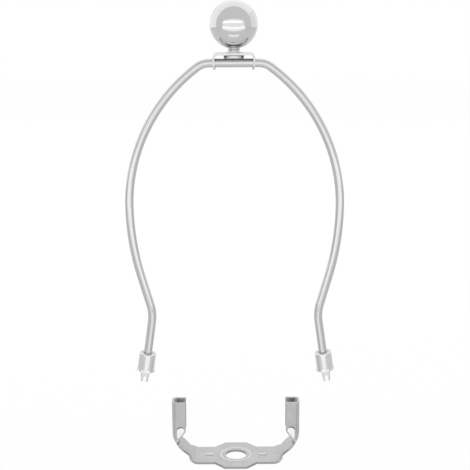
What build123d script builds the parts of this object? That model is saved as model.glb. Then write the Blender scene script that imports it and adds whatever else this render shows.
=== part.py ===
"""Lamp harp with its ball finial and its saddle, in millimetres, +Z up.

The origin is the centre of the saddle's hole, on the saddle's underside. X runs across the two
legs, and the harp and saddle are mirror images about X = 0. The harp is laid out above its saddle,
taken out of it, so each post stands under one foot with a gap between them.
"""
from build123d import *
import os
from math import atan2, cos, degrees, radians, sin, sqrt

# Harp wire: one bent wire, from the middle of the top down each side
WIRE_DIAMETER = 4.2
TOP_STRAIGHT = 23.6
TOP_BEND_RADIUS = 9.8
TOP_BEND_TURN = 36.5
BELLY_RADIUS = 84.6
BELLY_TURN = 53.7
LOWER_RADIUS = 133.0
LOWER_TURN = 15.5
TAPER_STRAIGHT = 15.2
KNEE_RADIUS = 22.0
KNEE_TURN = 24.1
LEG_STRAIGHT = 17.2

# Forked foot, flattened at the end of each leg
SHOULDER_WIDTH = 5.4
FOOT_THICKNESS = 2.8
FOOT_FLATTEN_LENGTH = 2.6
FOOT_PRESS = 0.15
ROUND_INTO_FOOT = 1.0
FOOT_TIP_WIDTH = 3.3
FOOT_TAPER_LENGTH = 9.0
FOOT_BELOW_FERRULE = 6.0
FOOT_EDGE_RADIUS = 0.45
FORK_SLOT_WIDTH = 1.3
FORK_SLOT_DEPTH = 3.0

# Ferrule: a drawn cup that slides on the leg and rests on the foot's shoulder
FERRULE_DIAMETER = 8.5
FERRULE_LENGTH = 9.6
FERRULE_WALL = 0.6
FERRULE_CORNER_RADIUS = 0.9
LIP_FLARE = 0.35
LIP_HEIGHT = 1.0
SLIDE_CLEARANCE = 0.08
SEAT_GAP = 0.1

# Swivel strap, folded over the wire's straight top
STRAP_SHEET = 1.0
STRAP_WIDTH = 10.4
STRAP_LENGTH = 20.2
STRAP_BEND_RADIUS = 1.9
STRAP_BEND_TURN = 84.0
EAR_BOW_RADIUS = 16.0
EAR_EDGE = 1.1
SWIVEL_CLEARANCE = 0.08

# Threaded stud, staked into the strap
THREAD_DIAMETER = 6.0
STUD_EXPOSED = 9.5
STUD_HEAD_DIAMETER = 10.0
STUD_HEAD_HEIGHT = 1.6
STUD_HEAD_EDGE = 0.35
STUD_SHOULDER_DIAMETER = 8.6
STUD_SHOULDER_HEIGHT = 0.5
HEAD_TO_WIRE_GAP = 0.15
STAKE_CLEARANCE = 0.02

# Ball finial, tapped to screw onto the stud
BALL_DIAMETER = 22.8
BALL_FLAT_DIAMETER = 7.4
BALL_ABOVE_STRAP = 2.4
THREAD_CLEARANCE = 0.06
TAPPED_HOLE_RUNOUT = 0.6

# Saddle: one folded sheet with a post for each leg
SADDLE_SHEET = 1.2
SADDLE_HOLE_DIAMETER = 11.0
SADDLE_STRAP_WIDTH = 18.0
SADDLE_FLAT_LENGTH = 39.0
LOW_BEND_RADIUS = 4.0
HIGH_BEND_RADIUS = 8.0
ARM_SLOPE = 45.0
ARM_WIDTH = 11.4
ARM_FLARE_WIDTH = 13.0
ARM_WIDE_HEIGHT = 1.5
ARM_NARROW_HEIGHT = 3.8
SADDLE_WIDTH = 65.8
OCTAGON_DEPTH = 28.5
OCTAGON_LENGTH = 21.6
OCTAGON_FLAT = 11.4
RING_DIAMETER = 15.4
RING_WIRE_RADIUS = 0.9
RING_PROUD = 0.3
PIP_LENGTH = 4.2
PIP_WIDTH = 1.8
PIP_OFFSET = 13.9
PIP_PROUD = 0.3

# Saddle posts: channels that open towards the middle of the saddle
POST_WIDTH = 7.0
POST_DEPTH = 8.2
POST_CORNER_RADIUS = 2.4
MARGIN_FOOT = 2.6
MARGIN_DROP = 2.6
STOP_SLIT_HEIGHT = 1.0
STOP_INSET = 0.7
TAB_ARCH = 1.2
TAB_RIM = 0.7

# Heights in the post, counted from where the arm's high bend begins
NECK_RISE = 0.2
TAB_RISE = 2.4
CHANNEL_RISE = 9.1
POST_RISE = 22.3

# Where the harp is laid out above its saddle
FEET_ABOVE_POSTS = 10.9

# Sizes that follow from the ones above
WIRE_RADIUS = WIRE_DIAMETER / 2
LEG_LEAN = 90 + KNEE_TURN - TOP_BEND_TURN - BELLY_TURN - LOWER_TURN
FOOT_LENGTH = FERRULE_LENGTH - FERRULE_WALL - SEAT_GAP + FOOT_BELOW_FERRULE

# Middle of the saddle's upright web, length of the straight arm and where its high bend begins
WEB_MIDDLE = (SADDLE_WIDTH - SADDLE_SHEET) / 2
LOW_BEND_REACH = LOW_BEND_RADIUS * sin(radians(ARM_SLOPE))
HIGH_BEND_REACH = HIGH_BEND_RADIUS * (1 - sin(radians(ARM_SLOPE)))
ARM_REACH = WEB_MIDDLE - SADDLE_FLAT_LENGTH / 2 - LOW_BEND_REACH - HIGH_BEND_REACH
ARM_LENGTH = ARM_REACH / cos(radians(ARM_SLOPE))
LOW_BEND_RISE = LOW_BEND_RADIUS * (1 - cos(radians(ARM_SLOPE)))
HIGH_BEND_FOOT = SADDLE_SHEET / 2 + LOW_BEND_RISE + ARM_LENGTH * sin(radians(ARM_SLOPE))
NECK_FOOT = HIGH_BEND_FOOT + NECK_RISE
TAB_ROOT = HIGH_BEND_FOOT + TAB_RISE
CHANNEL_BOTTOM = HIGH_BEND_FOOT + CHANNEL_RISE
MARGIN_TOP = CHANNEL_BOTTOM - MARGIN_DROP
POST_TOP = HIGH_BEND_FOOT + POST_RISE
FEET_HEIGHT = POST_TOP + FEET_ABOVE_POSTS


def half_loop(top_height, past_shoulder=0):
    """Right half of the wire's centre line, from the middle of the top to the foot's shoulder."""
    with BuildLine(Plane.XZ) as loop:
        top = Line((0, top_height), (TOP_STRAIGHT / 2, top_height))
        bend = JernArc(top @ 1, top % 1, TOP_BEND_RADIUS, -TOP_BEND_TURN)
        belly = JernArc(bend @ 1, bend % 1, BELLY_RADIUS, -BELLY_TURN)
        lower = JernArc(belly @ 1, belly % 1, LOWER_RADIUS, -LOWER_TURN)
        taper = Line(lower @ 1, lower @ 1 + (lower % 1) * TAPER_STRAIGHT)
        knee = JernArc(taper @ 1, taper % 1, KNEE_RADIUS, KNEE_TURN)
        Line(knee @ 1, knee @ 1 + (knee % 1) * (LEG_STRAIGHT + past_shoulder))
    return loop.line


# Height of the wire's straight top, so that the feet end at FEET_HEIGHT
TOP_HEIGHT = FEET_HEIGHT + FOOT_LENGTH * cos(radians(LEG_LEAN)) - (half_loop(0) @ 1).Z
HEAD_BOTTOM = TOP_HEIGHT + WIRE_RADIUS + HEAD_TO_WIRE_GAP
STRAP_BOTTOM = HEAD_BOTTOM + STUD_HEAD_HEIGHT
STRAP_TOP = STRAP_BOTTOM + STRAP_SHEET
STUD_TOP = STRAP_TOP + STUD_EXPOSED
BALL_BOTTOM = STRAP_TOP + BALL_ABOVE_STRAP


def leg_frame():
    """Plane at the right foot's shoulder: its z points up the leg and its y is the world's Y."""
    lean = radians(LEG_LEAN)
    across = (cos(lean), 0, sin(lean))
    up_leg = (-sin(lean), 0, cos(lean))
    return Plane(origin=half_loop(TOP_HEIGHT) @ 1, x_dir=across, z_dir=up_leg)


def foot_outline():
    """Front outline of the foot in the leg's own plane, from the shoulder down to the tips."""
    shoulder = SHOULDER_WIDTH / 2
    tip = FOOT_TIP_WIDTH / 2
    points = [
        (-shoulder, 0),
        (shoulder, 0),
        (shoulder, FOOT_TAPER_LENGTH - FOOT_LENGTH),
        (tip, -FOOT_LENGTH),
        (-tip, -FOOT_LENGTH),
        (-shoulder, FOOT_TAPER_LENGTH - FOOT_LENGTH),
    ]
    return make_face(Polyline(*points, close=True))


def foot_side():
    """Side outline of the foot: the round wire flattened to the foot's thickness."""
    half = FOOT_THICKNESS / 2
    top = WIRE_RADIUS - FOOT_PRESS
    points = [
        (-top, 0),
        (top, 0),
        (half, -FOOT_FLATTEN_LENGTH),
        (half, -FOOT_LENGTH),
        (-half, -FOOT_LENGTH),
        (-half, -FOOT_FLATTEN_LENGTH),
    ]
    return make_face(Polyline(*points, close=True))


def fork_slot():
    """Arch-topped slot that splits the end of the foot into two prongs."""
    radius = FORK_SLOT_WIDTH / 2
    crown = FORK_SLOT_DEPTH - radius - FOOT_LENGTH
    straight = Pos(0, crown - FOOT_LENGTH / 2) * Rectangle(FORK_SLOT_WIDTH, FOOT_LENGTH)
    return straight + Pos(0, crown) * Circle(radius)


def foot():
    """Forked foot with its shoulder's middle at the origin, pointing down."""
    front = extrude(Plane.XZ * foot_outline(), WIRE_DIAMETER, both=True)
    side = extrude(Plane.YZ * foot_side(), SHOULDER_WIDTH, both=True)
    blade = front & side
    flats = blade.faces().filter_by(Axis.Y)
    blade = fillet(flats.edges().filter_by(Axis.X, reverse=True), FOOT_EDGE_RADIUS)
    slot = extrude(Plane.XZ * fork_slot(), WIRE_DIAMETER, both=True)
    return blade - slot


def harp_wire():
    """The bent wire with both forked feet, as one solid."""
    right = half_loop(TOP_HEIGHT, ROUND_INTO_FOOT)
    path = Wire(right.edges() + mirror(right, Plane.YZ).edges())
    section = Plane(origin=path @ 0, z_dir=path % 0) * Circle(WIRE_RADIUS)
    wire = sweep(section, path=path)
    right_foot = leg_frame() * foot()
    return wire + right_foot + mirror(right_foot, Plane.YZ)


def ferrule_profile():
    """Half section of the ferrule: x is the radius and y is the height above the foot's shoulder."""
    outer = FERRULE_DIAMETER / 2
    bore = outer - FERRULE_WALL
    hole = WIRE_RADIUS + SLIDE_CLEARANCE
    ceiling = SEAT_GAP
    top = ceiling + FERRULE_WALL
    bottom = top - FERRULE_LENGTH
    corner = FERRULE_CORNER_RADIUS
    inner_corner = corner - FERRULE_WALL
    with BuildSketch() as profile:
        with BuildLine():
            Line((hole, ceiling), (hole, top))
            Line((hole, top), (outer - corner, top))
            RadiusArc((outer - corner, top), (outer, top - corner), corner)
            Line((outer, top - corner), (outer, bottom + LIP_HEIGHT))
            Line((outer, bottom + LIP_HEIGHT), (outer + LIP_FLARE, bottom))
            Line((outer + LIP_FLARE, bottom), (bore + LIP_FLARE, bottom))
            Line((bore + LIP_FLARE, bottom), (bore, bottom + LIP_HEIGHT))
            Line((bore, bottom + LIP_HEIGHT), (bore, ceiling - inner_corner))
            RadiusArc((bore, ceiling - inner_corner), (bore - inner_corner, ceiling), -inner_corner)
            Line((bore - inner_corner, ceiling), (hole, ceiling))
        make_face()
    return profile.sketch


def ferrule():
    """Right ferrule, resting on the shoulder of the right foot."""
    return leg_frame() * revolve(Plane.XZ * ferrule_profile(), Axis.Z)


def folded_sheet(path, width, thickness):
    """Sheet that follows a path in the front plane and runs to the same width on both sides."""
    start = Plane(origin=path @ 0, x_dir=(0, 1, 0), z_dir=path % 0)
    return sweep(start * Rectangle(width, thickness), path=path)


def strap_path():
    """Middle of the strap's sheet: flat top, tight bends and ears that bow out round the wire."""
    half_flat = (STRAP_LENGTH - STRAP_SHEET) / 2 - STRAP_BEND_RADIUS
    middle = STRAP_BOTTOM + STRAP_SHEET / 2
    ear_bottom = TOP_HEIGHT - WIRE_RADIUS - SWIVEL_CLEARANCE - EAR_EDGE
    bend_drop = STRAP_BEND_RADIUS * (1 - cos(radians(STRAP_BEND_TURN)))
    ear_length = middle - bend_drop - ear_bottom
    ear_turn = degrees(ear_length / EAR_BOW_RADIUS)
    with BuildLine(Plane.XZ) as path:
        flat = Line((0, middle), (half_flat, middle))
        bend = JernArc(flat @ 1, flat % 1, STRAP_BEND_RADIUS, -STRAP_BEND_TURN)
        JernArc(bend @ 1, bend % 1, EAR_BOW_RADIUS, -ear_turn)
    right = path.line
    return Wire(right.edges() + mirror(right, Plane.YZ).edges())


def strap_side():
    """Side outline of the strap: full width on top, narrowing to a round end below the wire."""
    end_radius = WIRE_RADIUS + SWIVEL_CLEARANCE + EAR_EDGE
    half = STRAP_WIDTH / 2
    rise = STRAP_BOTTOM - TOP_HEIGHT
    reach = sqrt(half * half + rise * rise)
    angle = atan2(rise, half) - atan2(sqrt(reach * reach - end_radius * end_radius), end_radius)
    touch = (end_radius * cos(angle), TOP_HEIGHT + end_radius * sin(angle))
    with BuildSketch() as outline:
        with BuildLine():
            Line((-half, STRAP_TOP), (half, STRAP_TOP))
            Line((half, STRAP_TOP), (half, STRAP_BOTTOM))
            Line((half, STRAP_BOTTOM), touch)
            ThreePointArc(touch, (0, TOP_HEIGHT - end_radius), (-touch[0], touch[1]))
            Line((-touch[0], touch[1]), (-half, STRAP_BOTTOM))
            Line((-half, STRAP_BOTTOM), (-half, STRAP_TOP))
        make_face()
    return outline.sketch


def swivel_strap():
    """Folded strap with a hole in each ear for the wire and one in the top for the stud."""
    strap = folded_sheet(strap_path(), STRAP_WIDTH, STRAP_SHEET)
    strap = strap & extrude(Plane.YZ * strap_side(), STRAP_LENGTH, both=True)
    wire_hole = Cylinder(WIRE_RADIUS + SWIVEL_CLEARANCE, 2 * STRAP_LENGTH)
    stud_hole = Cylinder(THREAD_DIAMETER / 2 + STAKE_CLEARANCE, 4 * STRAP_SHEET)
    strap = strap - Pos(0, 0, TOP_HEIGHT) * Rot(0, 90, 0) * wire_hole
    return strap - Pos(0, 0, STRAP_BOTTOM) * stud_hole


def threaded_stud():
    """Stud with a round head under the strap and a staked shoulder above it."""
    thread = THREAD_DIAMETER / 2
    head = STUD_HEAD_DIAMETER / 2
    shoulder = STUD_SHOULDER_DIAMETER / 2
    shoulder_top = STRAP_TOP + STUD_SHOULDER_HEIGHT
    points = [
        (0, HEAD_BOTTOM),
        (head - STUD_HEAD_EDGE, HEAD_BOTTOM),
        (head, HEAD_BOTTOM + STUD_HEAD_EDGE),
        (head, STRAP_BOTTOM - STUD_HEAD_EDGE),
        (head - STUD_HEAD_EDGE, STRAP_BOTTOM),
        (thread, STRAP_BOTTOM),
        (thread, STRAP_TOP),
        (shoulder, STRAP_TOP),
        (thread, shoulder_top),
        (thread, STUD_TOP - STUD_HEAD_EDGE),
        (thread - STUD_HEAD_EDGE, STUD_TOP),
        (0, STUD_TOP),
    ]
    return revolve(Plane.XZ * make_face(Polyline(*points, close=True)), Axis.Z)


def finial_ball():
    """Solid ball with a small flat underneath and a blind tapped hole for the stud."""
    radius = BALL_DIAMETER / 2
    flat = BALL_FLAT_DIAMETER / 2
    centre = BALL_BOTTOM + sqrt(radius * radius - flat * flat)
    hole_depth = STUD_TOP + TAPPED_HOLE_RUNOUT - BALL_BOTTOM
    ball = Pos(0, 0, centre) * Sphere(radius)
    ball = split(ball, Plane(origin=(0, 0, BALL_BOTTOM), z_dir=(0, 0, 1)), keep=Keep.TOP)
    hole = Cylinder(THREAD_DIAMETER / 2 + THREAD_CLEARANCE, hole_depth)
    return ball - Pos(0, 0, BALL_BOTTOM + hole_depth / 2) * hole


def saddle_line(offset):
    """Right half of the folded sheet seen from the front, at an offset outwards from its middle."""
    height = SADDLE_SHEET / 2 - offset
    with BuildLine(Plane.XZ) as path:
        flat = Line((0, height), (SADDLE_FLAT_LENGTH / 2, height))
        low = JernArc(flat @ 1, flat % 1, LOW_BEND_RADIUS + offset, ARM_SLOPE)
        rise = Line(low @ 1, low @ 1 + (low % 1) * ARM_LENGTH)
        high = JernArc(rise @ 1, rise % 1, HIGH_BEND_RADIUS + offset, 90 - ARM_SLOPE)
        Line(high @ 1, (WEB_MIDDLE + offset, POST_TOP))
    return path.line


def saddle_side():
    """Side outline of the flat strap and arms: a waist above the strap and a flare below the neck."""
    start = Vector(SADDLE_STRAP_WIDTH / 2, ARM_WIDE_HEIGHT)
    waist = Vector(ARM_WIDTH / 2, ARM_NARROW_HEIGHT)
    flare = Vector(ARM_FLARE_WIDTH / 2, (ARM_NARROW_HEIGHT + NECK_FOOT) / 2)
    neck = Vector(POST_DEPTH / 2, NECK_FOOT)
    with BuildSketch() as outline:
        with BuildLine():
            Line((0, -SADDLE_SHEET), (start.X, -SADDLE_SHEET))
            Line((start.X, -SADDLE_SHEET), start)
            TangentArc(start, (start + waist) / 2, tangent=(0, 1))
            TangentArc(waist, (start + waist) / 2, tangent=(0, -1))
            TangentArc(waist, (waist + flare) / 2, tangent=(0, 1))
            TangentArc(flare, (waist + flare) / 2, tangent=(0, -1))
            TangentArc(flare, neck, tangent=(0, 1))
            Line(neck, (0, NECK_FOOT))
            Line((0, NECK_FOOT), (0, -SADDLE_SHEET))
        make_face()
        mirror(about=Plane.YZ)
    return outline.sketch


def above_saddle(offset):
    """Everything above the folded sheet's outer or inner face, to trim the post with."""
    face = saddle_line(offset)
    far = (face @ 1).X
    top = Line((far, 0, POST_TOP), (0, 0, POST_TOP))
    middle = Line((0, 0, POST_TOP), face @ 0)
    outline = make_face(face.edges() + top.edges() + middle.edges())
    return extrude(outline, SADDLE_STRAP_WIDTH, both=True)


def post_section(depth, corner, reach):
    """Plan outline of the post, or of its hollow, from its outer face in towards the middle."""
    outline = Pos(reach - POST_WIDTH, 0) * Rectangle(2 * POST_WIDTH, depth)
    outline = fillet(outline.vertices().group_by(Axis.X)[-1], corner)
    return Pos(0, 0, NECK_FOOT) * extrude(outline, POST_TOP - NECK_FOOT)


def channel():
    """Right post: a channel with rounded outer corners and its mouth towards the middle."""
    outer_face = SADDLE_WIDTH / 2
    inner_depth = POST_DEPTH - 2 * SADDLE_SHEET
    inner_corner = POST_CORNER_RADIUS - SADDLE_SHEET
    block = post_section(POST_DEPTH, POST_CORNER_RADIUS, outer_face)
    block = block & above_saddle(SADDLE_SHEET / 2)
    hollow = post_section(inner_depth, inner_corner, outer_face - SADDLE_SHEET)
    hollow = hollow & above_saddle(-SADDLE_SHEET / 2)
    mouth = Box(2 * POST_WIDTH, 2 * POST_DEPTH, 2 * POST_TOP)
    return block - hollow - Pos(outer_face - 2 * POST_WIDTH, 0, POST_TOP / 2) * mouth


def margin_cut():
    """What is trimmed off the front and back of the channel below its straight part."""
    mouth = SADDLE_WIDTH / 2 - POST_WIDTH
    corner = SADDLE_WIDTH / 2 - MARGIN_FOOT
    points = [
        (mouth - POST_WIDTH, MARGIN_TOP),
        (mouth, MARGIN_TOP),
        (corner, NECK_FOOT),
        (corner, NECK_FOOT - POST_WIDTH),
        (mouth - POST_WIDTH, NECK_FOOT - POST_WIDTH),
    ]
    return extrude(Plane.XZ * make_face(Polyline(*points, close=True)), POST_DEPTH, both=True)


def tab_outline(top):
    """Wedge left between the channel's corner and its margin, up to an arch at the given height."""
    outer = SADDLE_WIDTH / 2 - POST_CORNER_RADIUS
    slope = (POST_WIDTH - MARGIN_FOOT) / (MARGIN_TOP - NECK_FOOT)
    inner = SADDLE_WIDTH / 2 - POST_WIDTH + TAB_RIM
    shoulder = top - TAB_ARCH
    root = (inner + slope * (MARGIN_TOP - TAB_ROOT), TAB_ROOT)
    with BuildSketch(Plane.XZ) as wedge:
        with BuildLine():
            Line(root, (outer, TAB_ROOT))
            Line((outer, TAB_ROOT), (outer, shoulder))
            ThreePointArc((outer, shoulder), ((outer + inner) / 2, top), (inner, shoulder))
            Line((inner, shoulder), (inner, MARGIN_TOP))
            Line((inner, MARGIN_TOP), root)
        make_face()
    return wedge.sketch


def stop_tab():
    """Pressed-in tab on the front of the post, that stops the harp's foot."""
    wedge = extrude(tab_outline(CHANNEL_BOTTOM - STOP_SLIT_HEIGHT), -SADDLE_SHEET)
    face = POST_DEPTH / 2
    return Pos(0, STOP_INSET - face) * wedge


def tab_window():
    """Opening through the front and back of the channel, round each tab and its slit."""
    return extrude(tab_outline(CHANNEL_BOTTOM), POST_DEPTH, both=True)


def octagon():
    """Wider middle of the saddle, with its corners cut to meet the strap."""
    back = OCTAGON_DEPTH / 2
    strap = SADDLE_STRAP_WIDTH / 2
    flat = OCTAGON_FLAT / 2
    side = OCTAGON_LENGTH / 2
    back_half = [(side, strap), (flat, back), (-flat, back), (-side, strap)]
    points = back_half + [(-x, -y) for x, y in back_half]
    return extrude(make_face(Polyline(*points, close=True)), SADDLE_SHEET)


def raised_marks():
    """Low ring round the hole and one pip on each side of it."""
    ring_height = SADDLE_SHEET + RING_PROUD - RING_WIRE_RADIUS
    ring = Pos(0, 0, ring_height) * Torus(RING_DIAMETER / 2, RING_WIRE_RADIUS)
    ring = split(ring, Plane(origin=(0, 0, SADDLE_SHEET / 2), z_dir=(0, 0, 1)), keep=Keep.TOP)
    pip = extrude(SlotOverall(PIP_LENGTH, PIP_WIDTH), SADDLE_SHEET + PIP_PROUD)
    return ring + Pos(PIP_OFFSET, 0) * pip + Pos(-PIP_OFFSET, 0) * pip


def right_saddle_half():
    """Right half of the folded sheet: flat strap, arm, neck and post."""
    sheet = folded_sheet(Wire(saddle_line(0).edges()), SADDLE_STRAP_WIDTH, SADDLE_SHEET)
    sheet = sheet & extrude(Plane.YZ * saddle_side(), SADDLE_WIDTH)
    post = channel() - margin_cut() - tab_window()
    tab = stop_tab()
    return sheet + post + tab + mirror(tab, Plane.XZ)


def saddle():
    """The whole saddle as one sheet with its hole."""
    half = right_saddle_half()
    body = half + mirror(half, Plane.YZ) + octagon() + raised_marks()
    hole = Cylinder(SADDLE_HOLE_DIAMETER / 2, 8 * SADDLE_SHEET)
    return body - hole


if __name__ == "__main__":
    os.makedirs("parts", exist_ok=True)
    right_ferrule = ferrule()
    nodes = {
        "harp_wire": harp_wire(),
        "ferrule_right": right_ferrule,
        "ferrule_left": mirror(right_ferrule, Plane.YZ),
        "swivel_strap": swivel_strap(),
        "threaded_stud": threaded_stud(),
        "finial_ball": finial_ball(),
        "saddle": saddle(),
    }
    for name, solid in nodes.items():
        export_step(solid, f"parts/{name}.step")
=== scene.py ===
"""Looks of the lamp harp: bright plating, a mirror ball, a satin saddle and a plain white studio."""

import math

import bmesh
import bpy
from mathutils import Euler, Matrix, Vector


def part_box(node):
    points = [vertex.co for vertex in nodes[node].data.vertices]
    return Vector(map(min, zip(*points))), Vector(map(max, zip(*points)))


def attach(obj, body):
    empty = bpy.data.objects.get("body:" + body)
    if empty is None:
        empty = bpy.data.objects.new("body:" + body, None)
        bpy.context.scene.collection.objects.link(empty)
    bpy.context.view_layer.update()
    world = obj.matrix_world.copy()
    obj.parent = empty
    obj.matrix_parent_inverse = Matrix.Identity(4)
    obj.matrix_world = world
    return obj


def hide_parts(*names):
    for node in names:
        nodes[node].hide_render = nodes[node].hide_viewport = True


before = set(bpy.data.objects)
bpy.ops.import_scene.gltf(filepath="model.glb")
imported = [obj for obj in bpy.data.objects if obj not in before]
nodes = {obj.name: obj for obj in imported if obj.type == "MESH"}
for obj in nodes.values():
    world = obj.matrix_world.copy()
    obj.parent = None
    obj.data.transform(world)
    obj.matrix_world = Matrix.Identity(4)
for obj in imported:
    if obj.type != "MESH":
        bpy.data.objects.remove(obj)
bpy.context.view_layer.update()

MM = 0.001

# Camera: where it stands, how far it looks down and how the picture leans
CAMERA_DISTANCE = 0.4828
CAMERA_HEIGHT = 0.2363
CAMERA_DOWN = math.radians(13.6)
CAMERA_ROLL = math.radians(0.30)
CAMERA_ASIDE = 0.10 * MM
IMAGE_SIZE = 470
FOCAL_PIXELS = 1000.0
SENSOR = 36.0

FLOOR_DROP = 60 * MM

# Light: a pale world, and soft lamps around the harp that show as bright bands in the plating.
# Each lamp: side it stands on, distance, lowest and highest edge along the two other axes, and how much
# brighter than white it is.
PALE = 0.80
LAMPS = {
    "wall_lamp": ("front", 700 * MM, (-900 * MM, 900 * MM), (-50 * MM, 580 * MM), 0.42),
    "upper_lamp": ("front", 600 * MM, (-900 * MM, 480 * MM), (315 * MM, 430 * MM), 0.60),
    "front_lamp": ("front", 420 * MM, (-700 * MM, 700 * MM), (-30 * MM, 148 * MM), 0.50),
    "low_lamp": ("front", 170 * MM, (-110 * MM, 110 * MM), (-52 * MM, 33 * MM), 0.55),
    "left_lamp": ("left", 1000 * MM, (50 * MM, 1800 * MM), (60 * MM, 900 * MM), 0.46),
    "right_lamp": ("right", 1000 * MM, (50 * MM, 1800 * MM), (60 * MM, 900 * MM), 0.28),
    "top_lamp": ("top", 900 * MM, (-1000 * MM, 1000 * MM), (50 * MM, 1800 * MM), 0.46),
}

# Floor: its own glow near the object, how much that rises outwards, where the lamps reach less, from where to
# where it rises, its size, and its greys: the one under the glow, and the one that lights the rest.
FLOOR_GLOW = 0.648
FLOOR_GLOW_RISE = 0.096
FLOOR_RISE_START = 0.6
FLOOR_RISE_END = 3.8
FLOOR_SIZE = 8
FLOOR_DULL = 0.32
FLOOR_PLAIN = 0.8

# Each plating: reflectance, lowest roughness, what its haze adds to that, radius of soft edges, how much the
# grain darkens it, and strength of the grain's relief.
PLATINGS = {
    "bright_plating": (0.475, 0.06, 0.04, 0.12 * MM, 0.04, 0.15),
    "drawn_plating": (0.57, 0.12, 0.06, 0.15 * MM, 0.05, 0.2),
    "pressed_plating": (0.55, 0.20, 0.06, 0.15 * MM, 0.05, 0.25),
    "ball_plating": (0.53, 0.02, 0.02, 0.02 * MM, 0.01, 0.03),
}
PLATING_GRAIN = 900.0
PLATING_CLOUDS = 120.0

# Saddle: tone and roughness of its satin sheet, then of the places on it that differ, some by painted shade
# or highlight
SATIN_TONE = (0.435, 0.495)
SATIN_ROUGH = (0.40, 0.48)
SATIN_EDGE = 0.2 * MM
SATIN_BUMP = 0.45
SATIN_GRAIN = 1500.0
SATIN_CLOUDS = 160.0
GRAIN_SHADE = 0.92
# painted shade: how much darker the outer faces of the posts' cheeks are made
CHEEK_PAINTED_SHADE = 0.84
# painted shade: tone of the sheet's cut edges, darker as if in shadow
CUT_EDGE_SHADE_TONE = 0.30
CUT_EDGE_ROUGH = 0.5
# painted highlight: tone of the crests of the raised ring and the pips
CREST_HIGHLIGHT_TONE = 0.58
# painted highlight: tone of the pressed-in tabs; TAB_ROUGH is their lower roughness
TAB_HIGHLIGHT_TONE = 0.80
TAB_ROUGH = 0.16

# Saddle: where those places are, as the two values between which each begins or ends.
# A face counts as steep or as a side by its normal. For the tabs a third value says how soft each limit is.
STEEP_FACE = (0.2, 0.4)
SIDE_FACE = (0.75, 0.85)
SHEET_TOP = (1.1 * MM, 1.2 * MM)
ARM_TOP = (9.2 * MM, 9.8 * MM)
CREST_HEIGHT = (1.28 * MM, 1.42 * MM)
CREST_END = (16 * MM, 17 * MM)
CHEEK_DEPTH = (3.6 * MM, 3.8 * MM)
CHEEK_HEIGHT = (9 * MM, 14 * MM)
TAB_DEPTH = (3.2 * MM, 3.6 * MM, 0.05 * MM)
TAB_HEIGHT = (11.6 * MM, 17.9 * MM, 0.2 * MM)
TAB_ACROSS = (26.0 * MM, 30.6 * MM, 0.1 * MM)

# Stud, in the proportions of the solid that it replaces
STUD_EXPOSED = 9.5 * MM
STUD_HEAD_HEIGHT = 1.6 * MM
STUD_SHOULDER_RADIUS = 4.3 * MM
STUD_SHOULDER_HEIGHT = 0.5 * MM
STUD_EDGE = 0.35 * MM
THREAD_RADIUS = 3.0 * MM
THREAD_PITCH = 0.94 * MM
THREAD_DEPTH = 0.18 * MM
THREAD_FADE = 0.3 * THREAD_PITCH
THREAD_FLANK = 0.4
THREAD_RINGS = 150
STUD_STEPS = 96

# Ball: its hole, as deep as it can be seen, the rounding of the hole's mouth and of the flat, and fineness
HOLE_ROOM = 0.06 * MM
HOLE_DEPTH = 6 * MM
MOUTH_ROUND = 0.1 * MM
FLAT_ROUND = 0.25 * MM
BALL_STEPS = 192
BALL_RINGS = 180


class Nodes:
    """Short way to add and join the nodes of one material or world."""

    def __init__(self, owner):
        owner.use_nodes = True
        self.tree = owner.node_tree
        self.tree.nodes.clear()

    def add(self, kind, inputs=None, **settings):
        node = self.tree.nodes.new(kind)
        for name, value in settings.items():
            setattr(node, name, value)
        for name, value in (inputs or {}).items():
            self.put(node.inputs[name], value)
        return node

    def put(self, socket, value):
        if isinstance(value, bpy.types.NodeSocket):
            self.tree.links.new(value, socket)
        else:
            socket.default_value = value

    def math(self, operation, first, second=None):
        node = self.tree.nodes.new("ShaderNodeMath")
        node.operation = operation
        self.put(node.inputs[0], first)
        if second is not None:
            self.put(node.inputs[1], second)
        return node.outputs[0]

    def ramp(self, value, low, high, out_low=0.0, out_high=1.0):
        """Smooth step from out_low to out_high between two values."""
        node = self.add("ShaderNodeMapRange", interpolation_type="SMOOTHSTEP")
        self.put(node.inputs["Value"], value)
        node.inputs["From Min"].default_value = low
        node.inputs["From Max"].default_value = high
        node.inputs["To Min"].default_value = out_low
        node.inputs["To Max"].default_value = out_high
        return node.outputs["Result"]

    def between(self, value, low, high, soft):
        """1 between low and high, falling to 0 across each of the two limits."""
        above = self.ramp(value, low - soft, low + soft)
        below = self.ramp(value, high - soft, high + soft, 1.0, 0.0)
        return self.math("MULTIPLY", above, below)

    def mix(self, factor, first, second):
        """Number between two numbers."""
        node = self.add("ShaderNodeMix", data_type="FLOAT")
        self.put(node.inputs[0], factor)
        self.put(node.inputs[2], first)
        self.put(node.inputs[3], second)
        return node.outputs[0]


def background_ray(n):
    """1 for each ray that shows the background: to the camera, in metal and through glass."""
    path = n.add("ShaderNodeLightPath").outputs
    shown = n.math("MAXIMUM", path["Is Camera Ray"], path["Is Glossy Ray"])
    return n.math("MAXIMUM", shown, path["Is Transmission Ray"])


def make_world():
    """Even pale light, with one white background for the camera and for all that reflects."""
    world = bpy.data.worlds.new("studio")
    bpy.context.scene.world = world
    n = Nodes(world)
    lit = n.add("ShaderNodeBackground", {"Strength": PALE})
    white = n.add("ShaderNodeBackground", {"Strength": 1.0})
    for background in (lit, white):
        background.inputs["Color"].default_value = (1, 1, 1, 1)
    both = n.add("ShaderNodeMixShader", {0: background_ray(n), 1: lit.outputs[0], 2: white.outputs[0]})
    n.add("ShaderNodeOutputWorld", {"Surface": both.outputs[0]})


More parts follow.
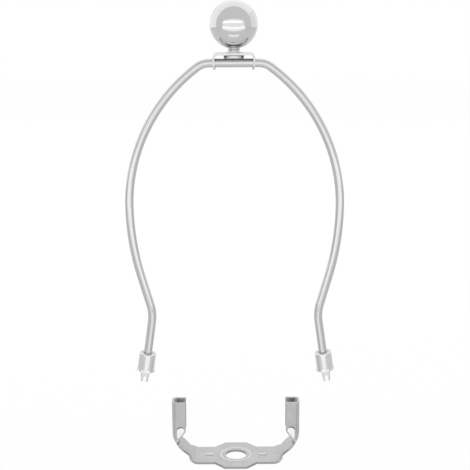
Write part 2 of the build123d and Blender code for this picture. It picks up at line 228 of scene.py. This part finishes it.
def make_floor():
    """White floor well below the saddle, which takes the object's soft shadow."""
    material = bpy.data.materials.new("white_floor")
    n = Nodes(material)
    place = n.add("ShaderNodeTexCoord").outputs["Object"]
    away = n.add("ShaderNodeVectorMath", {0: place}, operation="LENGTH").outputs["Value"]
    strength = n.ramp(away, FLOOR_RISE_START, FLOOR_RISE_END, FLOOR_GLOW, FLOOR_GLOW + FLOOR_GLOW_RISE)
    glow = n.add("ShaderNodeEmission", {"Strength": strength})
    dull = n.add("ShaderNodeBsdfDiffuse", {"Color": (FLOOR_DULL, FLOOR_DULL, FLOOR_DULL, 1)})
    plain = n.add("ShaderNodeBsdfDiffuse", {"Color": (FLOOR_PLAIN, FLOOR_PLAIN, FLOOR_PLAIN, 1)})
    white = n.add("ShaderNodeAddShader", {0: glow.outputs[0], 1: dull.outputs[0]})
    both = n.add("ShaderNodeMixShader", {0: background_ray(n), 1: plain.outputs[0], 2: white.outputs[0]})
    n.add("ShaderNodeOutputMaterial", {"Surface": both.outputs[0]})
    bpy.ops.mesh.primitive_plane_add(size=FLOOR_SIZE, location=(0, 0, -FLOOR_DROP))
    floor = bpy.context.object
    floor.name = "floor"
    floor.data.materials.append(material)


def make_lamps():
    """Soft rectangular lamps, each facing the harp from its side."""
    quarter = math.pi / 2
    for name, (side, distance, first, second, level) in LAMPS.items():
        middle, width = sum(first) / 2, first[1] - first[0]
        height, depth = sum(second) / 2, second[1] - second[0]
        place, turned, size, size_y = {
            "front": ((middle, -distance, height), (quarter, 0, 0), width, depth),
            "left": ((-distance, middle, height), (0, -quarter, 0), depth, width),
            "right": ((distance, middle, height), (0, quarter, 0), depth, width),
            "top": ((middle, height, distance), (0, 0, 0), width, depth),
        }[side]
        lamp = bpy.data.lights.new(name, "AREA")
        lamp.shape = "RECTANGLE"
        lamp.size, lamp.size_y = size, size_y
        lamp.energy = level * math.pi * size * size_y
        stand = bpy.data.objects.new(name, lamp)
        bpy.context.scene.collection.objects.link(stand)
        stand.location = place
        stand.rotation_euler = turned
        stand.visible_camera = False


def make_camera():
    """Camera in front, looking along +Y and slightly down."""
    data = bpy.data.cameras.new("camera")
    data.sensor_width = SENSOR
    data.lens = FOCAL_PIXELS * SENSOR / IMAGE_SIZE
    data.clip_start = 0.01
    camera = bpy.data.objects.new("camera", data)
    bpy.context.scene.collection.objects.link(camera)
    camera.location = (CAMERA_ASIDE, -CAMERA_DISTANCE, CAMERA_HEIGHT)
    look = Euler((math.pi / 2 - CAMERA_DOWN, 0, 0)).to_matrix()
    roll = Matrix.Rotation(-CAMERA_ROLL, 3, "Z")
    camera.rotation_euler = (look @ roll).to_euler()
    bpy.context.scene.camera = camera


def clouds_of(n, place, scale, detail):
    """Cloudy noise from 0 to 1."""
    return n.add("ShaderNodeTexNoise", {"Vector": place, "Scale": scale, "Detail": detail}).outputs["Fac"]


def relief_of(n, place, edge, bump, grain):
    """Normal with softly rounded edges and fine grain, and the grain itself."""
    fine = clouds_of(n, place, grain, 3.0)
    rounded = n.add("ShaderNodeBevel", {"Radius": edge}, samples=6)
    relief = n.add("ShaderNodeBump", {"Strength": bump, "Distance": 0.02 * MM, "Height": fine})
    n.put(relief.inputs["Normal"], rounded.outputs[0])
    return relief.outputs[0], fine


def metal(n, tone, rough, normal):
    """Grey metal of a given lightness."""
    colour = n.add("ShaderNodeCombineColor", {0: tone, 1: tone, 2: tone})
    shader = n.add("ShaderNodeBsdfPrincipled", {"Metallic": 1.0, "Roughness": rough, "Normal": normal})
    n.put(shader.inputs["Base Color"], colour.outputs[0])
    n.add("ShaderNodeOutputMaterial", {"Surface": shader.outputs[0]})


def plating(name):
    """Bright plating with a faint cloudy haze and fine grain."""
    reflectance, roughness, haze, edge, mottle, bump = PLATINGS[name]
    material = bpy.data.materials.new(name)
    n = Nodes(material)
    place = n.add("ShaderNodeTexCoord").outputs["Object"]
    normal, fine = relief_of(n, place, edge, bump, PLATING_GRAIN)
    clouds = clouds_of(n, place, PLATING_CLOUDS, 4.0)
    rough = n.ramp(clouds, 0.35, 0.65, roughness, roughness + haze)
    tone = n.ramp(fine, 0.3, 0.7, reflectance * (1 - mottle), reflectance)
    metal(n, tone, rough, normal)
    return material


def satin_sheet(name):
    """Satin plating on pressed sheet: rougher cut edges, painted shade on them and the cheeks, painted
    highlights on tabs and crests.
    """
    material = bpy.data.materials.new(name)
    n = Nodes(material)
    place = n.add("ShaderNodeTexCoord").outputs["Object"]
    normal, fine = relief_of(n, place, SATIN_EDGE, SATIN_BUMP, SATIN_GRAIN)
    clouds = clouds_of(n, place, SATIN_CLOUDS, 5.0)
    parts = n.add("ShaderNodeSeparateXYZ", {"Vector": place})
    across = n.math("ABSOLUTE", parts.outputs[0])
    deep = n.math("ABSOLUTE", parts.outputs[1])
    high = parts.outputs[2]
    facing = n.add("ShaderNodeSeparateXYZ", {"Vector": n.add("ShaderNodeNewGeometry").outputs["True Normal"]})
    sideways = n.math("ABSOLUTE", facing.outputs[1])
    upright = n.math("ABSOLUTE", facing.outputs[2])
    # cut edges of the flat strap and of the arms: rougher, and darker as painted shade on the sheet's edge
    below_posts = n.ramp(high, *ARM_TOP, 1.0, 0.0)
    in_sheet = n.ramp(high, *SHEET_TOP, 1.0, 0.0)
    flat_edge = n.math("MULTIPLY", n.ramp(upright, *STEEP_FACE, 1.0, 0.0), in_sheet)
    arm_edge = n.math("MULTIPLY", n.ramp(sideways, *SIDE_FACE), below_posts)
    cut = n.math("MAXIMUM", flat_edge, arm_edge)
    # crests of the raised ring and the pips, made lighter as a painted highlight
    crest = n.math("MULTIPLY", n.ramp(high, *CREST_HEIGHT), n.ramp(across, *CREST_END, 1.0, 0.0))
    # outer faces of the posts' cheeks, where shade is painted: they are made darker than the flat strap
    cheek = n.math("MULTIPLY", n.ramp(sideways, *SIDE_FACE), n.ramp(deep, *CHEEK_DEPTH))
    cheek = n.math("MULTIPLY", cheek, n.ramp(high, *CHEEK_HEIGHT))
    # pressed-in tabs, made lighter as a painted highlight, and smoother
    tab = n.math("MULTIPLY", n.between(deep, *TAB_DEPTH), n.between(high, *TAB_HEIGHT))
    tab = n.math("MULTIPLY", tab, n.between(across, *TAB_ACROSS))
    tone = n.ramp(clouds, 0.3, 0.7, *SATIN_TONE)
    tone = n.math("MULTIPLY", tone, n.ramp(fine, 0.3, 0.7, GRAIN_SHADE, 1.0))
    # painted shade on the cheeks and the cut edges, painted highlights on the crests and the tabs
    tone = n.math("MULTIPLY", tone, n.ramp(cheek, 0.0, 1.0, 1.0, CHEEK_PAINTED_SHADE))
    tone = n.mix(cut, tone, CUT_EDGE_SHADE_TONE)
    tone = n.mix(crest, tone, CREST_HIGHLIGHT_TONE)
    tone = n.mix(tab, tone, TAB_HIGHLIGHT_TONE)
    rough = n.ramp(clouds, 0.35, 0.65, *SATIN_ROUGH)
    rough = n.mix(cut, rough, CUT_EDGE_ROUGH)
    rough = n.mix(tab, rough, TAB_ROUGH)
    metal(n, tone, rough, normal)
    return material


def dress(obj, material):
    """Gives an object one material, and smooth shading except at edges that its mesh marks as sharp."""
    obj.data.materials.clear()
    obj.data.materials.append(material)
    obj.data.polygons.foreach_set("use_smooth", [True] * len(obj.data.polygons))
    obj.data.update()


def lathe(name, profile, steps, cut=None):
    """Object turned about Z from (radius, height) points; cut gives a groove's depth by angle and height."""
    mesh = bpy.data.meshes.new(name)
    shape = bmesh.new()
    rings = []
    for radius, height in profile:
        if radius < 1e-7:
            rings.append([shape.verts.new((0, 0, height))])
        else:
            ring = []
            for step in range(steps):
                angle = 2 * math.pi * step / steps
                reach = radius - (cut(angle, height) if cut else 0.0)
                ring.append(shape.verts.new((reach * math.cos(angle), reach * math.sin(angle), height)))
            rings.append(ring)
    for lower, upper in zip(rings, rings[1:]):
        for step in range(steps):
            after = (step + 1) % steps
            corners = [lower[step % len(lower)], lower[after % len(lower)]]
            corners += [upper[after % len(upper)], upper[step % len(upper)]]
            unique = list(dict.fromkeys(corners))
            if len(unique) > 2:
                shape.faces.new(unique)
    bmesh.ops.recalc_face_normals(shape, faces=shape.faces)
    shape.to_mesh(mesh)
    shape.free()
    piece = bpy.data.objects.new(name, mesh)
    bpy.context.scene.collection.objects.link(piece)
    return piece


def make_ball():
    """Fine mesh of the finial: sphere, flat underneath and the mouth of its hole."""
    low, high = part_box("finial_ball")
    radius = (high.x - low.x) / 2
    centre = high.z - radius
    hole = THREAD_RADIUS + HOLE_ROOM
    flat = math.sqrt(radius ** 2 - (centre - low.z) ** 2)
    start = math.atan2(flat, centre - low.z)
    profile = [(hole, low.z + HOLE_DEPTH), (hole, low.z + MOUTH_ROUND)]
    profile += [(hole + MOUTH_ROUND, low.z), (flat - FLAT_ROUND, low.z)]
    for ring in range(1, BALL_RINGS):
        angle = start + (math.pi - start) * ring / BALL_RINGS
        profile.append((radius * math.sin(angle), centre - radius * math.cos(angle)))
    profile.append((0.0, high.z))
    return lathe("mirror_ball", profile, BALL_STEPS)


def make_stud():
    """Stud with its round head, staked shoulder and a fine thread up to the top."""
    low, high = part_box("threaded_stud")
    head = (high.x - low.x) / 2
    under_strap = low.z + STUD_HEAD_HEIGHT
    over_strap = high.z - STUD_EXPOSED
    first = over_strap + STUD_SHOULDER_HEIGHT
    last = high.z - STUD_EDGE
    profile = [(0.0, low.z), (head - STUD_EDGE, low.z), (head, low.z + STUD_EDGE)]
    profile += [(head, under_strap - STUD_EDGE), (head - STUD_EDGE, under_strap)]
    profile += [(THREAD_RADIUS, under_strap), (THREAD_RADIUS, over_strap)]
    profile += [(STUD_SHOULDER_RADIUS, over_strap)]
    for ring in range(THREAD_RINGS + 1):
        profile.append((THREAD_RADIUS, first + (last - first) * ring / THREAD_RINGS))
    profile += [(THREAD_RADIUS - STUD_EDGE, high.z), (0.0, high.z)]

    def groove(angle, height):
        fade = min(1.0, max(0.0, height - first) / THREAD_FADE, max(0.0, last - height) / THREAD_FADE)
        turn = (height / THREAD_PITCH - angle / (2 * math.pi)) % 1.0
        return THREAD_DEPTH * fade * min(1.0, (0.5 - abs(turn - 0.5)) / THREAD_FLANK)

    return lathe("cut_stud", profile, STUD_STEPS, groove)


make_world()
make_floor()
make_lamps()
make_camera()

bright = plating("bright_plating")
pressed = plating("pressed_plating")
drawn = plating("drawn_plating")
mirror_bright = plating("ball_plating")

dress(nodes["harp_wire"], bright)
for node in ("ferrule_left", "ferrule_right"):
    dress(nodes[node], drawn)
dress(nodes["swivel_strap"], pressed)
dress(nodes["saddle"], satin_sheet("satin_plating"))

stud = make_stud()
dress(stud, pressed)
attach(stud, "swivel")
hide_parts("threaded_stud")

ball = make_ball()
dress(ball, mirror_bright)
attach(ball, "finial")
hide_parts("finial_ball")

scene = bpy.context.scene
scene.view_settings.view_transform = "Standard"
